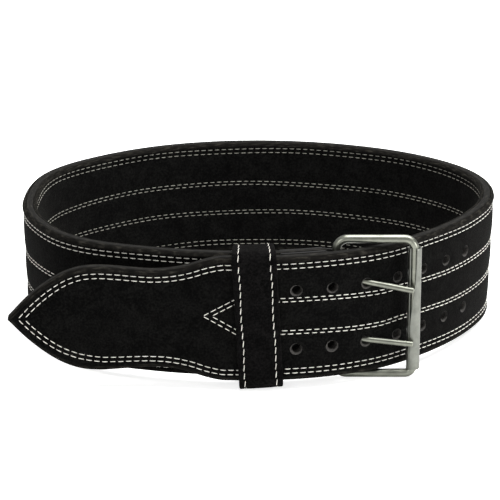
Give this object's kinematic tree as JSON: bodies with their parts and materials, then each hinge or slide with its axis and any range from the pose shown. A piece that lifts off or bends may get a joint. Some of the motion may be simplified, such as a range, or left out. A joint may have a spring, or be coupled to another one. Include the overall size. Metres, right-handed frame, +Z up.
{
  "type": "weightlifting belt",
  "caption": "Wide stitched suede and leather lifting belt, buckled in an oval, with a pointed tip, a leather keeper and a two-prong roller buckle.",
  "frame": {"origin": "middle of the bounding box, at the floor that the belt stands on", "axes": "+Z up, +X along the belt's width towards the roller, -Y towards the front where the buckle is"},
  "size_m": [0.3842, 0.332, 0.1165],
  "materials": {
    "suede": "black suede, short nap",
    "edge_leather": "dyed and burnished cut edge, dark grey",
    "keeper_leather": "black suede split",
    "tab_leather": "black grain leather",
    "nickel_plate": "nickel-plated steel, bright with fine wear"
  },
  "bodies": {
    "root": {"strap_face": "suede", "strap_core": "edge_leather", "strap_lining": "suede", "keeper": "keeper_leather", "hinge_tab": "tab_leather", "buckle_frame": "nickel_plate", "roller": "nickel_plate", "prong_upper": "nickel_plate", "prong_lower": "nickel_plate"}
  },
  "joints": []
}
